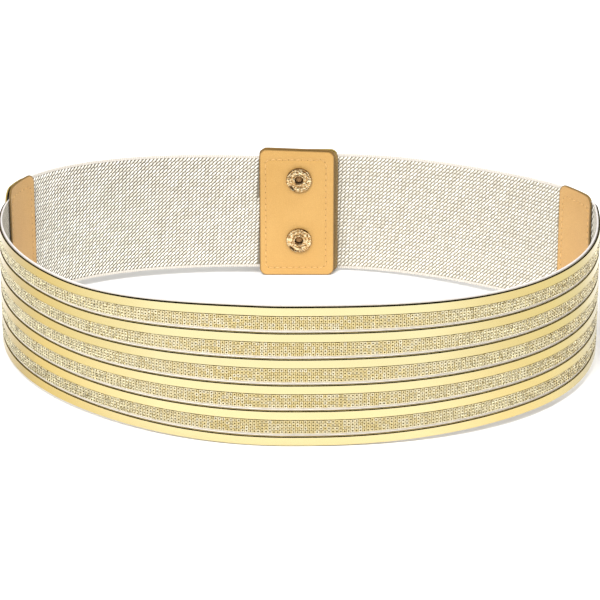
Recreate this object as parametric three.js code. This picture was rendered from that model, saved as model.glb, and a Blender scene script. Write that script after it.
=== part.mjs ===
// A wide waist belt standing on its edge: a front panel of gold strips, an elastic back and a snap closure.
// Millimetres, +Z up, the front of the panel towards -Y. Heights start at the surface it stands on.
import * as THREE from 'three';

// Plan of the belt, along the outer face of the gold strips
const reachLeft = 126.6;
const reachRight = 134.9;
const depthFront = 120.3;
const depthBack = 73.4;

// The four quarters of the plan: each is a superellipse, after a flat stretch at the back
const quarters = {
  frontLeft: { reach: reachLeft, depth: depthFront, flat: 0, power: 1.92 },
  frontRight: { reach: reachRight, depth: depthFront, flat: 0, power: 2.42 },
  backLeft: { reach: reachLeft, depth: depthBack, flat: 17, power: 2.34 },
  backRight: { reach: reachRight, depth: depthBack, flat: 21, power: 1.56 },
};
const quarterSteps = 400;

// Front panel: its height narrows from the front centre to its two ends
const panelHeight = 62;
const panelNarrowing = {
  left: { topDrop: 5.0, bottomRise: 1.65 },
  right: { topDrop: 1.6, bottomRise: 2.8 },
  startsAt: 12,
  endsAt: 107,
};
const panelEnds = { left: 214, right: 218 };
const stripEnds = { left: 206.7, right: 212.3 };

// Layers of the wall, as depths inward from the outer face of the gold strips
const layers = {
  gold: { outer: 0, inner: 0.75 },
  glitter: { outer: 0.3, inner: 0.75 },
  backing: { outer: 0.95, inner: 1.75 },
  elastic: { outer: 0.95, inner: 1.95 },
  coverOuter: { outer: 0, inner: 0.7 },
  coverInner: { outer: 2.15, inner: 3.05 },
};

// Gold and glitter strips, by height on the panel at the front centre
const stripCount = 6;
const firstStripTop = 61.25;
const stripPitch = 11.36;
const goldHeight = 4.1;
const goldBevel = { back: 0.45, down: 0.4 };
const stripGap = 0.1;
const barePanelBand = 1.3;
const stripSteps = { left: 10, middle: 36, right: 11, middleReach: 150 };

// Leather covers over the two joins of panel and elastic, by distance from the front centre
const coverBottom = 1.5;
const coverEnds = { left: 231.3, right: 235.2 };
const coverStarts = {
  outer: { left: 207.3, right: 212.9 },
  inner: { left: 206.6, right: 210.4 },
};
const coverTops = { outer: 61.4, inner: 62.6 };
const coverCorners = { outer: { along: 7, down: 6.5 }, inner: { along: 4, down: 4.5 } };

// Elastic webbing: edge heights at the cover and at the closure, and how far it steps outward there
const elasticStarts = { left: 216, right: 220 };
const elasticEdges = {
  left: { coverBottom: 3.6, coverTop: 61.2, tabBottom: 3.6, tabTop: 58.0, stepOut: -0.35, endX: -3.5 },
  right: { coverBottom: 3.6, coverTop: 61.2, tabBottom: 0.7, tabTop: 57.1, stepOut: 3.75, endX: 12 },
};
const elasticStep = { from: 110, to: 22 };
const elasticStations = 26;

// The two closing tabs: flat leather plates, each a lining and an outer leather around an elastic's end.
// The top edge of the front one falls towards its right side.
const tabWidth = 34.5;
const tabCornerRadius = 3.5;
const leatherThickness = 1.0;
const tabPlates = [
  { name: 'tab_front_lining', centreX: 3.35, nearY: 69.7, height: 62, topFall: 1.4, holeRadius: 2.9 },
  { name: 'tab_front_leather', centreX: 3.35, nearY: 72.1, height: 62, topFall: 1.4, holeRadius: 2.9 },
  { name: 'tab_back_lining', centreX: 5.05, nearY: 73.8, height: 59.7, topFall: 0, holeRadius: 5.2 },
  { name: 'tab_back_leather', centreX: 5.05, nearY: 76.2, height: 59.7, topFall: 0, holeRadius: 1.7 },
];

// Snaps, in order from the inside of the belt outward
const snapX = 4.3;
const snapHeights = { snap_upper: 47.1, snap_lower: 17.5 };
const capTopY = 78.9;
const roundSegments = 20;

// Profiles of the snap parts: radius, and distance along Y
const snapProfiles = {
  eyelet: [[2.15, 68.7], [2.9, 68.4], [4.1, 68.55], [5.35, 68.75], [5.9, 69.15], [5.9, 69.5],
    [2.6, 69.5], [2.6, 73.0], [2.15, 73.0], [2.15, 68.7]],
  stud: [[0, 73.25], [4.2, 73.25], [4.2, 73.65], [2.9, 73.65], [2.9, 74.7], [2.4, 75.1], [0, 75.1]],
  socket: [[3.2, 73.95], [4.9, 73.95], [4.9, 75.8], [1.7, 75.8], [1.7, 75.35], [3.2, 75.35], [3.2, 73.95]],
  cap: [[0, 75.4], [1.4, 75.4], [1.4, 77.4], [6.2, 77.4], [6.2, 77.9], [5.4, 78.5], [3.2, 78.8],
    [0, capTopY]],
};

// Finishes, from the photo
const finishes = {
  gold: { color: 0xf2e2a0, roughness: 0.14, metalness: 1 },
  glitter: { color: 0xdccea0, roughness: 0.4, metalness: 0.8 },
  backing: { color: 0xe9e4d8, roughness: 0.5, metalness: 0 },
  elastic: { color: 0xe5dfcf, roughness: 0.9, metalness: 0 },
  leather: { color: 0xf1bf74, roughness: 0.6, metalness: 0 },
  goldLeather: { color: 0xd8c078, roughness: 0.4, metalness: 0.6 },
  snap: { color: 0xe8cf9c, roughness: 0.2, metalness: 1 },
};

const belt = new THREE.Group();
belt.position.set((reachLeft - reachRight) / 2, (depthFront - capTopY) / 2, 0);

function addPart(name, geometry, finish) {
  const mesh = new THREE.Mesh(geometry, new THREE.MeshStandardMaterial(finishes[finish]));
  mesh.name = name;
  belt.add(mesh);
  return mesh;
}

// Points of one half of the plan, from the front centre round one side to the back centre
function halfOutline(side, front, back) {
  const quarterPoint = (quarter, angle, yDirection) => new THREE.Vector2(
    side * (quarter.flat + (quarter.reach - quarter.flat) * Math.cos(angle) ** (2 / quarter.power)),
    yDirection * quarter.depth * Math.sin(angle) ** (2 / quarter.power),
  );
  const points = [];
  for (let step = quarterSteps; step >= 0; step -= 1) {
    points.push(quarterPoint(front, (Math.PI / 2) * (step / quarterSteps), -1));
  }
  for (let step = 1; step <= quarterSteps; step += 1) {
    points.push(quarterPoint(back, (Math.PI / 2) * (step / quarterSteps), 1));
  }
  points.push(new THREE.Vector2(0, back.depth));
  const distances = [0];
  for (let i = 1; i < points.length; i += 1) {
    distances.push(distances[i - 1] + points[i].distanceTo(points[i - 1]));
  }
  return { points, distances, length: distances[distances.length - 1] };
}

const halves = {
  left: halfOutline(-1, quarters.frontLeft, quarters.backLeft),
  right: halfOutline(1, quarters.frontRight, quarters.backRight),
};

const sideOf = (distance) => (distance < 0 ? 'left' : 'right');

// A point of the plan at a signed distance from the front centre: left is negative, right is positive
function planPoint(distance) {
  const half = halves[sideOf(distance)];
  const along = Math.min(Math.abs(distance), half.length);
  let i = 1;
  while (i < half.distances.length - 1 && half.distances[i] < along) i += 1;
  const span = half.distances[i] - half.distances[i - 1];
  const share = span > 0 ? (along - half.distances[i - 1]) / span : 0;
  return new THREE.Vector2().lerpVectors(half.points[i - 1], half.points[i], share);
}

// The same point moved inward by a depth, at a height
function wallPoint(distance, depth, height) {
  const probe = 1.5;
  const here = planPoint(distance);
  const along = planPoint(distance + probe).sub(planPoint(distance - probe)).normalize();
  return [here.x - along.y * depth, here.y + along.x * depth, height];
}

// A closed band swept along the wall: each station has one section, a list of [depth, height]
function bandGeometry(stations, sectionAt) {
  const sections = stations.map((distance) => sectionAt(distance)
    .map(([depth, height]) => wallPoint(distance, depth, height)));
  const corners = sections[0].length;
  const index = [];
  for (let row = 0; row < sections.length - 1; row += 1) {
    for (let corner = 0; corner < corners; corner += 1) {
      const a = row * corners + corner;
      const b = row * corners + ((corner + 1) % corners);
      index.push(a, b, b + corners, a, b + corners, a + corners);
    }
  }
  const lastRow = (sections.length - 1) * corners;
  for (let corner = 1; corner < corners - 1; corner += 1) {
    index.push(0, corner + 1, corner);
    index.push(lastRow, lastRow + corner, lastRow + corner + 1);
  }
  const geometry = new THREE.BufferGeometry();
  geometry.setAttribute('position', new THREE.Float32BufferAttribute(sections.flat(2), 3));
  geometry.setIndex(index);
  geometry.computeVertexNormals();
  return geometry;
}

function evenStations(from, to, count) {
  return Array.from({ length: count + 1 }, (_, i) => from + ((to - from) * i) / count);
}

const smooth = (from, to, value) => THREE.MathUtils.smoothstep(value, from, to);

// Bottom and top of the panel at a distance from the front centre
function panelEdges(distance) {
  const narrowing = panelNarrowing[sideOf(distance)];
  const share = smooth(panelNarrowing.startsAt, panelNarrowing.endsAt, Math.abs(distance));
  return { bottom: narrowing.bottomRise * share, top: panelHeight - narrowing.topDrop * share };
}

// A height given at the front centre, carried along the narrowing panel
function panelHeightAt(distance, heightAtCentre) {
  const { bottom, top } = panelEdges(distance);
  return bottom + ((top - bottom) * heightAtCentre) / panelHeight;
}

// A rectangular section of one layer
const plainSection = (layer, bottom, top) => [
  [layer.outer, bottom], [layer.inner, bottom], [layer.inner, top], [layer.outer, top],
];

function goldEdges(distance, number) {
  const top = panelHeightAt(distance, firstStripTop - stripPitch * (number - 1));
  return { bottom: top - goldHeight, top };
}

function buildPanel() {
  const { middleReach } = stripSteps;
  const stations = [
    ...evenStations(-stripEnds.left, -middleReach, stripSteps.left),
    ...evenStations(-middleReach, middleReach, stripSteps.middle).slice(1, -1),
    ...evenStations(middleReach, stripEnds.right, stripSteps.right),
  ];
  const leftStub = evenStations(-panelEnds.left, -stripEnds.left, 3).slice(0, -1);
  const rightStub = evenStations(stripEnds.right, panelEnds.right, 3).slice(1);
  const backingStations = [...leftStub, ...stations, ...rightStub];
  addPart('panel_backing', bandGeometry(backingStations, (distance) => {
    const { bottom, top } = panelEdges(distance);
    return plainSection(layers.backing, bottom, top);
  }), 'backing');

  for (let number = 1; number <= stripCount; number += 1) {
    const geometry = bandGeometry(stations, (distance) => {
      const { bottom, top } = goldEdges(distance, number);
      const { outer, inner } = layers.gold;
      return [
        [inner, top], [outer + goldBevel.back, top], [outer, top - goldBevel.down],
        [outer, bottom + goldBevel.down], [outer + goldBevel.back, bottom], [inner, bottom],
      ];
    });
    addPart(`gold_strip_${number}`, geometry, 'gold');
  }
  for (let number = 1; number < stripCount; number += 1) {
    const geometry = bandGeometry(stations, (distance) => {
      const top = goldEdges(distance, number).bottom - stripGap;
      const bottom = goldEdges(distance, number + 1).top + barePanelBand;
      return plainSection(layers.glitter, bottom, top);
    });
    addPart(`glitter_strip_${number}`, geometry, 'glitter');
  }
}

// A leather cover with rounded corners: the edge heights draw in near its two ends
function coverGeometry(side, face, layer) {
  const sign = side === 'left' ? -1 : 1;
  const start = coverStarts[face][side];
  const end = coverEnds[side];
  const { along, down } = coverCorners[face];
  const inset = (fromEnd) => {
    const share = Math.max(1 - fromEnd / along, 0);
    return down * (1 - Math.sqrt(1 - share ** 2));
  };
  const cornerSteps = [0, 0.06, 0.25, 0.55, 1].map((share) => share * along);
  const middle = evenStations(start + along, end - along, Math.ceil((end - start) / 4)).slice(1, -1);
  const nearStart = cornerSteps.map((step) => start + step);
  const nearEnd = cornerSteps.map((step) => end - step);
  const stations = [...nearStart, ...middle, ...nearEnd].map((d) => sign * d).sort((a, b) => a - b);
  return bandGeometry(stations, (distance) => {
    const at = Math.abs(distance);
    const drawn = inset(Math.max(Math.min(at - start, end - at), 0));
    return plainSection(layer, coverBottom + drawn, coverTops[face] - drawn);
  });
}

function buildCovers() {
  for (const side of ['left', 'right']) {
    addPart(`cover_${side}_outer`, coverGeometry(side, 'outer', layers.coverOuter), 'goldLeather');
    addPart(`cover_${side}_inner`, coverGeometry(side, 'inner', layers.coverInner), 'leather');
  }
}

// The elastic runs from inside its cover to inside its tab, and shifts in depth to meet the tab
function buildElastic() {
  for (const [side, sign] of [['left', -1], ['right', 1]]) {
    const edges = elasticEdges[side];
    const half = halves[side];
    const end = half.length - sign * edges.endX;
    const stations = evenStations(elasticStarts[side], end, elasticStations)
      .map((distance) => sign * distance)
      .sort((a, b) => a - b);
    const geometry = bandGeometry(stations, (distance) => {
      const toCentre = half.length - Math.abs(distance);
      const along = THREE.MathUtils.clamp(toCentre / (half.length - coverEnds[side]), 0, 1);
      const bottom = THREE.MathUtils.lerp(edges.tabBottom, edges.coverBottom, along);
      const top = THREE.MathUtils.lerp(edges.tabTop, edges.coverTop, along);
      const step = edges.stepOut * (1 - smooth(elasticStep.to, elasticStep.from, toCentre));
      const layer = { outer: layers.elastic.outer - step, inner: layers.elastic.inner - step };
      return plainSection(layer, bottom, top);
    });
    addPart(`elastic_${side}`, geometry, 'elastic');
  }
}

function tabOutline(width, height, topFall, radius) {
  const shape = new THREE.Shape();
  const right = width / 2;
  const rightTop = height - topFall;
  shape.moveTo(-right + radius, 0);
  shape.lineTo(right - radius, 0);
  shape.absarc(right - radius, radius, radius, -Math.PI / 2, 0);
  shape.lineTo(right, rightTop - radius);
  shape.absarc(right - radius, rightTop - radius, radius, 0, Math.PI / 2);
  shape.lineTo(-right + radius, height);
  shape.absarc(-right + radius, height - radius, radius, Math.PI / 2, Math.PI);
  shape.lineTo(-right, radius);
  shape.absarc(-right + radius, radius, radius, Math.PI, Math.PI * 1.5);
  return shape;
}

function buildTabs() {
  for (const plate of tabPlates) {
    const shape = tabOutline(tabWidth, plate.height, plate.topFall, tabCornerRadius);
    for (const height of Object.values(snapHeights)) {
      const hole = new THREE.Path();
      hole.absarc(snapX - plate.centreX, height, plate.holeRadius, 0, Math.PI * 2, true);
      shape.holes.push(hole);
    }
    const geometry = new THREE.ExtrudeGeometry(shape, {
      depth: leatherThickness, bevelEnabled: false, curveSegments: 8,
    });
    geometry.rotateX(Math.PI / 2);
    const finish = plate.name === 'tab_back_leather' ? 'goldLeather' : 'leather';
    addPart(plate.name, geometry, finish).position.set(plate.centreX, plate.nearY + leatherThickness, 0);
  }
}

function buildSnaps() {
  for (const [snap, height] of Object.entries(snapHeights)) {
    for (const [piece, profile] of Object.entries(snapProfiles)) {
      const points = profile.map(([radius, y]) => new THREE.Vector2(radius, y));
      const geometry = new THREE.LatheGeometry(points, roundSegments);
      addPart(`${snap}_${piece}`, geometry, 'snap').position.set(snapX, 0, height);
    }
  }
}

buildPanel();
buildCovers();
buildElastic();
buildTabs();
buildSnaps();

export default belt;
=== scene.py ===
import math

import bmesh
import bpy
import numpy as np
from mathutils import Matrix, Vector


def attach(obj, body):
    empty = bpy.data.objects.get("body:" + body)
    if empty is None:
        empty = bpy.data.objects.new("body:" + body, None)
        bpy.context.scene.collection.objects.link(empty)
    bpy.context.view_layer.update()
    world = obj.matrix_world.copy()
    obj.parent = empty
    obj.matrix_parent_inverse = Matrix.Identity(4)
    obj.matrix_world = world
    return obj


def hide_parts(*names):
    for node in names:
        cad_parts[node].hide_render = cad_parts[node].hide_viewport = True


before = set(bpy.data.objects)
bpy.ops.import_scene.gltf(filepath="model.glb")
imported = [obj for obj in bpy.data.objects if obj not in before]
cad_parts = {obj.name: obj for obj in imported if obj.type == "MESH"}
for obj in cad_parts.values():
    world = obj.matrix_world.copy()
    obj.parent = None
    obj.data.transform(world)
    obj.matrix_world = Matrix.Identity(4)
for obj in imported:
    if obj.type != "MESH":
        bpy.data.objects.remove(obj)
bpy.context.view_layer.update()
scene = bpy.context.scene
mm = 0.001  # sizes below are in millimetres, heights start at the surface the belt stands on
print("frame loaded:", len(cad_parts), "nodes")


# A socket of a node tree: arithmetic on it adds Math nodes
class Wire:
    def __init__(self, graph, socket):
        self.graph = graph
        self.socket = socket

    def __add__(self, other):
        return self.graph.maths("ADD", self, other)

    def __sub__(self, other):
        return self.graph.maths("SUBTRACT", self, other)

    def __rsub__(self, other):
        return self.graph.maths("SUBTRACT", other, self)

    def __mul__(self, other):
        return self.graph.maths("MULTIPLY", self, other)

    __radd__ = __add__
    __rmul__ = __mul__

    # another output of the same node
    def also(self, name):
        return Wire(self.graph, pickSocket(self.socket.node.outputs, name))


def pickSocket(sockets, key):
    if isinstance(key, int):
        return sockets[key]
    return next(s for s in sockets if s.name == key and s.enabled)


class Graph:
    def __init__(self, tree):
        self.tree = tree

    # settings are set first, then the values or links of the sockets
    def node(self, kind, settings=None, inputs=None, output=0):
        made = self.tree.nodes.new(kind)
        for name, value in (settings or {}).items():
            setattr(made, name, value)
        for name, value in (inputs or {}).items():
            socket = pickSocket(made.inputs, name)
            if isinstance(value, Wire):
                self.tree.links.new(value.socket, socket)
            else:
                socket.default_value = value
        return Wire(self, pickSocket(made.outputs, output)) if made.outputs else None

    def maths(self, operation, first, second=0.0):
        return self.node("ShaderNodeMath", {"operation": operation}, {0: first, 1: second})

    def blend(self, factor, first, second):
        return self.node("ShaderNodeMix", {"data_type": "RGBA"},
                         {"Factor": factor, "A": first, "B": second}, "Result")

    def span(self, value, low, high, newLow=0.0, newHigh=1.0):
        return self.node("ShaderNodeMapRange", None, {
            "Value": value, "From Min": low, "From Max": high, "To Min": newLow, "To Max": newHigh})

    def vector(self, x=0.0, y=0.0, z=0.0):
        return self.node("ShaderNodeCombineXYZ", None, {"X": x, "Y": y, "Z": z})

    def part(self, vector, axis):
        return self.node("ShaderNodeSeparateXYZ", None, {0: vector}, axis)


# A screen colour, 0 to 255, as the linear colour that shaders take
def tint(*shades):
    return (*(((shade / 255 + 0.055) / 1.055) ** 2.4 for shade in shades), 1.0)


# Camera, floor and light
camera = {"place": (0.00065, -1.19947, 0.50868), "target": (0.00065, 0.0207, 0.0157),
          "lens": 178.68, "sensor": 36.0, "sight": 50.0}

studio = {
    "floorReach": 5.0,
    "floorColour": tint(244, 243, 241),
    "skyForCloth": 0.64,     # light from all round, seen by matt surfaces
    "skyForMetal": 0.012,    # what polished metal sees above the horizon
    "lamps": [
        # name, place, size, power; no lamp is seen in reflections
        ("lampFront", (-0.45, -1.0, 1.4), 0.9, 30.0),
        ("lampTop", (0.3, -0.25, 1.6), 1.2, 14.5),
    ],
}


def makeCamera():
    data = bpy.data.cameras.new("camera")
    data.lens = camera["lens"]
    data.sensor_width = camera["sensor"]
    data.clip_end = camera["sight"]
    holder = bpy.data.objects.new("camera", data)
    holder.location = camera["place"]
    line = Vector(camera["target"]) - Vector(camera["place"])
    holder.rotation_euler = line.to_track_quat("-Z", "Y").to_euler()
    scene.collection.objects.link(holder)
    scene.camera = holder


def makeFloor():
    reach = studio["floorReach"]
    mesh = bpy.data.meshes.new("floor")
    corners = [(-reach, -reach, 0), (reach, -reach, 0), (reach, reach, 0), (-reach, reach, 0)]
    mesh.from_pydata(corners, [], [(0, 1, 2, 3)])
    mesh.materials.append(newPaint("paper_floor", floorFinish, studio))
    floor = bpy.data.objects.new("floor", mesh)
    scene.collection.objects.link(floor)


def floorFinish(graph, look):
    return {"Base Color": look["floorColour"], "Roughness": 0.9, "Specular IOR Level": 0.0}


def makeLight():
    for name, place, size, power in studio["lamps"]:
        data = bpy.data.lights.new(name, "AREA")
        data.shape = "DISK"
        data.size = size
        data.energy = power
        lamp = bpy.data.objects.new(name, data)
        lamp.location = place
        lamp.rotation_euler = (-Vector(place)).to_track_quat("-Z", "Y").to_euler()
        lamp.visible_glossy = False
        scene.collection.objects.link(lamp)
    world = bpy.data.worlds.new("studio")
    scene.world = world
    world.use_nodes = True
    world.node_tree.nodes.clear()
    graph = Graph(world.node_tree)
    mirrored = graph.node("ShaderNodeLightPath", None, None, "Is Glossy Ray")
    direct = mirrored.also("Is Camera Ray")
    level = mirrored * studio["skyForMetal"] + (1 - mirrored) * studio["skyForCloth"]
    level = level * (1 - direct) + direct
    sky = graph.node("ShaderNodeBackground", None, {"Color": (1, 1, 1, 1), "Strength": level})
    graph.node("ShaderNodeOutputWorld", None, {"Surface": sky})
    scene.view_settings.view_transform = "Standard"
    scene.view_settings.look = "None"


# A material of one shader; finish gives the shader's inputs from the values of look
def newPaint(name, finish, look):
    material = bpy.data.materials.new(name)
    material.use_nodes = True
    material.node_tree.nodes.clear()
    graph = Graph(material.node_tree)
    shader = graph.node("ShaderNodeBsdfPrincipled", None, finish(graph, look))
    graph.node("ShaderNodeOutputMaterial", None, {"Surface": shader})
    return material


makeCamera()
makeFloor()
makeLight()
print("camera, floor and light made")

# Plan of the belt
# Outer face of the gold strips, as four superellipse quarters: reach, depth, flat stretch, power
plan = {
    "left": {"front": (126.6, 120.3, 0, 1.92), "back": (126.6, 73.4, 17, 2.34)},
    "right": {"front": (134.9, 120.3, 0, 2.42), "back": (134.9, 73.4, 21, 1.56)},
    "steps": 400, "probe": 1.5,
    "shift": (-4.15, 20.7),  # from the plan's own middle to the frame's
}


def traceHalf(side, sign):
    angles = np.linspace(math.pi / 2, 0, plan["steps"] + 1)
    quarters = []
    for part, turn in (("front", -1), ("back", 1)):
        reach, depth, flat, power = plan[side][part]
        quarters.append((flat + (reach - flat) * np.abs(np.cos(angles)) ** (2 / power),
                         turn * depth * np.abs(np.sin(angles)) ** (2 / power)))
    (frontX, frontY), (backX, backY) = quarters
    x = sign * np.concatenate([frontX, backX[::-1][1:], [0.0]])
    y = np.concatenate([frontY, backY[::-1][1:], [depth]])
    distance = np.concatenate([[0.0], np.cumsum(np.hypot(np.diff(x), np.diff(y)))])
    return {"x": x, "y": y, "distance": distance, "length": distance[-1]}


halves = {"left": traceHalf("left", -1), "right": traceHalf("right", 1)}


# A point of the plan by its distance from the front centre: left is negative, right is positive
def planPoint(distance):
    along = np.abs(distance)
    left, right = halves["left"], halves["right"]
    return [np.where(distance < 0, np.interp(along, left["distance"], left[axis]),
                     np.interp(along, right["distance"], right[axis])) for axis in "xy"]


def planTangent(distance):
    beforeX, beforeY = planPoint(distance - plan["probe"])
    afterX, afterY = planPoint(distance + plan["probe"])
    length = np.hypot(afterX - beforeX, afterY - beforeY)
    return (afterX - beforeX) / length, (afterY - beforeY) / length


# Points in the wall, in metres, by distance along it, depth inward and height
def wallPoint(distance, depth, height):
    distance, depth, height = np.broadcast_arrays(
        np.asarray(distance, float), np.asarray(depth, float), np.asarray(height, float))
    x, y = planPoint(distance)
    alongX, alongY = planTangent(distance)
    shiftX, shiftY = plan["shift"]
    return np.stack([x - alongY * depth + shiftX, y + alongX * depth + shiftY, height], axis=-1) * mm


def smoothStep(low, high, value):
    share = np.clip((value - low) / (high - low), 0, 1)
    return share * share * (3 - 2 * share)


# Mesh helpers
def storeRun(mesh, run):
    layer = mesh.uv_layers.new(name="run")
    corners = np.empty(len(mesh.loops), int)
    mesh.loops.foreach_get("vertex_index", corners)
    layer.data.foreach_set("uv", np.ascontiguousarray(run[corners], dtype=np.float32).ravel())


def storeNumber(mesh, name, values):
    made = mesh.attributes.new(name, "FLOAT", "POINT")
    made.data.foreach_set("value", np.asarray(values, np.float32).ravel())


def storeArrow(mesh, name, values):
    made = mesh.attributes.new(name, "FLOAT_VECTOR", "POINT")
    made.data.foreach_set("vector", np.asarray(values, np.float32).ravel())


def turnOutward(mesh):
    work = bmesh.new()
    work.from_mesh(mesh)
    bmesh.ops.recalc_face_normals(work, faces=work.faces)
    work.to_mesh(mesh)
    work.free()


# An object with its mesh's name
def addObject(mesh, material=None):
    holder = bpy.data.objects.new(mesh.name, mesh)
    scene.collection.objects.link(holder)
    if material:
        mesh.materials.append(material)
        setSmooth(mesh, True)
    return holder


def setSmooth(mesh, smooth):
    mesh.polygons.foreach_set("use_smooth", [smooth] * len(mesh.polygons))


# Makes a modifier's result the object's own mesh
def keepResult(holder, modifier):
    evaluated = holder.evaluated_get(bpy.context.evaluated_depsgraph_get())
    holder.data = bpy.data.meshes.new_from_object(evaluated)
    holder.data.name = holder.name
    holder.modifiers.remove(modifier)


def finishPiece(holder, slot, *nodes):
    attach(holder, "root")
    if nodes:
        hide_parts(*nodes)


# A closed band along the wall; section gives the same number of [depth, height] corners at each station
def sweepBand(name, stations, section):
    corners = np.array([section(distance) for distance in stations], float)
    stations = np.asarray(stations, float)[:, None]
    points = wallPoint(stations, corners[..., 0], corners[..., 1])
    rows, ring = points.shape[:2]
    faces = []
    for row in range(rows - 1):
        for corner in range(ring):
            a = row * ring + corner
            b = row * ring + (corner + 1) % ring
            faces.append((a, b, b + ring, a + ring))
    faces.append(tuple(range(ring))[::-1])
    faces.append(tuple(range((rows - 1) * ring, rows * ring)))
    mesh = bpy.data.meshes.new(name)
    mesh.from_pydata(points.reshape(-1, 3).tolist(), [], faces)
    run = np.stack(np.broadcast_arrays(stations, corners[..., 1]), axis=-1).reshape(-1, 2) * mm
    storeRun(mesh, run)
    turnOutward(mesh)
    return mesh


# A quarter round from one direction to the next, as [depth, height] corners
def quarterRound(depth, height, radiusDepth, radiusHeight, startAngle, steps):
    angles = startAngle + np.linspace(0, math.pi / 2, steps + 1)
    return [[depth + radiusDepth * math.cos(a), height + radiusHeight * math.sin(a)] for a in angles]


# A rectangle with round edges, outer face first, as [depth, height] corners
def roundSection(outer, inner, bottom, top, radius, steps=3):
    near, far, low, high = outer + radius, inner - radius, bottom + radius, top - radius
    corners = []
    for turn, (depth, height) in enumerate([(far, high), (near, high), (near, low), (far, low)]):
        corners += quarterRound(depth, height, radius, radius, turn * math.pi / 2, steps)
    return corners


# Positions from low to high: a few close to both ends, then even steps
def edgeSpaced(low, high, close, cell):
    close = np.asarray(close)
    count = max(2, int(round((high - low - 2 * close[-1]) / cell)))
    middle = np.linspace(low + close[-1], high - close[-1], count + 1)
    return np.concatenate([low + close[:-1], middle, (high - close[:-1])[::-1]])


# Distance outside a rectangle, negative inside it, from how far a point is past its sides
def pastRectangle(overU, overV):
    outside = np.hypot(np.maximum(overU, 0), np.maximum(overV, 0))
    return outside + np.minimum(np.maximum(overU, overV), 0)


# A leather plate with round corners and edges. place maps its width, height and thickness into the belt.
def plateMesh(name, plate, place, relief=None):
    width, height, corner = plate["width"], plate["height"], plate["corner"]
    edge, half = plate["edge"], plate["thickness"] / 2
    close = np.array([0.0, 0.12, 0.32, 0.6, 1.0]) * edge * 1.4
    across = edgeSpaced(-width / 2, width / 2, close, plate["cell"])
    up = edgeSpaced(0, height, close, plate["cell"])
    columns, rows = len(across), len(up)
    fromEnd = width / 2 - np.abs(across)
    arc = corner - np.sqrt(np.maximum(corner ** 2 - (corner - fromEnd) ** 2, 0))
    drawn = np.where(fromEnd < corner, arc, 0)  # how far the corners take from each column's ends
    u = np.repeat(across[:, None], rows, axis=1)
    v = np.empty((columns, rows))
    for column in range(columns):
        squeezed = edgeSpaced(drawn[column], height - drawn[column], close, plate["cell"])
        v[column] = np.interp(np.linspace(0, 1, rows), np.linspace(0, 1, len(squeezed)), squeezed)
    overU = np.abs(u) - (width / 2 - corner)
    overV = np.abs(v - height / 2) - (height / 2 - corner)
    inset = np.maximum(corner - pastRectangle(overU, overV), 0)
    rounded = np.minimum(inset, edge)
    thick = half - edge + np.sqrt(np.maximum(edge ** 2 - (edge - rounded) ** 2, 0))
    front = thick + (relief(u, v) if relief else 0)
    points = np.concatenate([place(u, v, front).reshape(-1, 3), place(u, v, -thick).reshape(-1, 3)])
    size = columns * rows
    faces = []
    for column in range(columns - 1):
        for row in range(rows - 1):
            a = column * rows + row
            faces.append((a, a + rows, a + rows + 1, a + 1))
            faces.append((size + a, size + a + 1, size + a + rows + 1, size + a + rows))
        for row in (0, rows - 1):
            a = column * rows + row
            faces.append((a, a + rows, size + a + rows, size + a))
    for row in range(rows - 1):
        for column in (0, columns - 1):
            a = column * rows + row
            faces.append((a, a + 1, size + a + 1, size + a))
    mesh = bpy.data.meshes.new(name)
    mesh.from_pydata(points.tolist(), [], faces)
    storeRun(mesh, np.tile(np.stack([u, v], axis=-1).reshape(-1, 2), (2, 1)) * mm)
    storeNumber(mesh, "inset", np.tile(inset.ravel(), 2))
    # back faces away from the cut edge are marked for painted shade
    storeNumber(mesh, "shadedBack", np.concatenate([np.zeros(size), (inset.ravel() > edge).astype(float)]))
    turnOutward(mesh)
    return mesh


# A round piece on an axis along Y, from its profile of [radius, Y]
def latheMesh(name, profile, centreX, height, segments, ripple=None):
    profile = np.asarray(profile, float)
    onAxis = profile[:, 0] < 1e-6
    shiftX, shiftY = plan["shift"]
    angles = np.linspace(0, 2 * math.pi, segments, endpoint=False)
    points, rings, faces = [], [], []
    closed = not onAxis[0]
    for (radius, y), pole in zip(profile, onAxis):
        if pole:
            rings.append([len(points)] * segments)
            points.append((centreX + shiftX, y + shiftY, height))
            continue
        rings.append([len(points) + i for i in range(segments)])
        for angle in angles:
            lift = ripple(radius, angle) if ripple else 0
            points.append((centreX + shiftX + radius * math.cos(angle), y + shiftY - lift,
                           height + radius * math.sin(angle)))
    count = len(rings)
    for i in range(count if closed else count - 1):
        first, second = rings[i], rings[(i + 1) % count]
        for j in range(segments):
            k = (j + 1) % segments
            faces.append(tuple(dict.fromkeys((first[j], first[k], second[k], second[j]))))
    mesh = bpy.data.meshes.new(name)
    mesh.from_pydata((np.array(points) * mm).tolist(), [], faces)
    turnOutward(mesh)
    return mesh


# Geometry Nodes helpers
# A tree whose inputs are the capitalised values of a piece's dictionary
def newTree(name, values):
    tree = bpy.data.node_groups.new(name, "GeometryNodeTree")
    tree.interface.new_socket("Geometry", in_out="INPUT", socket_type="NodeSocketGeometry")
    for size, value in values.items():
        if size[0].isupper():
            kind = "NodeSocketInt" if isinstance(value, int) else "NodeSocketFloat"
            tree.interface.new_socket(size, in_out="INPUT", socket_type=kind).default_value = value
    tree.interface.new_socket("Geometry", in_out="OUTPUT", socket_type="NodeSocketGeometry")
    graph = Graph(tree)
    return tree, graph, graph.node("NodeGroupInput")


def storedOn(graph, name, kind="FLOAT_VECTOR"):
    return graph.node("GeometryNodeInputNamedAttribute", {"data_type": kind}, {"Name": name})


# Rotation that lays an instance's X along the stored arrow "along" and its Z along "facing"
def facingRotation(graph, along=None):
    kind = "FunctionNodeAlignRotationToVector"
    first = graph.node(kind, {"axis": "Z"}, {"Vector": storedOn(graph, "facing")})
    return graph.node(kind, {"axis": "X", "pivot_axis": "Z"},
                      {"Rotation": first, "Vector": along or storedOn(graph, "along")})


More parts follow.
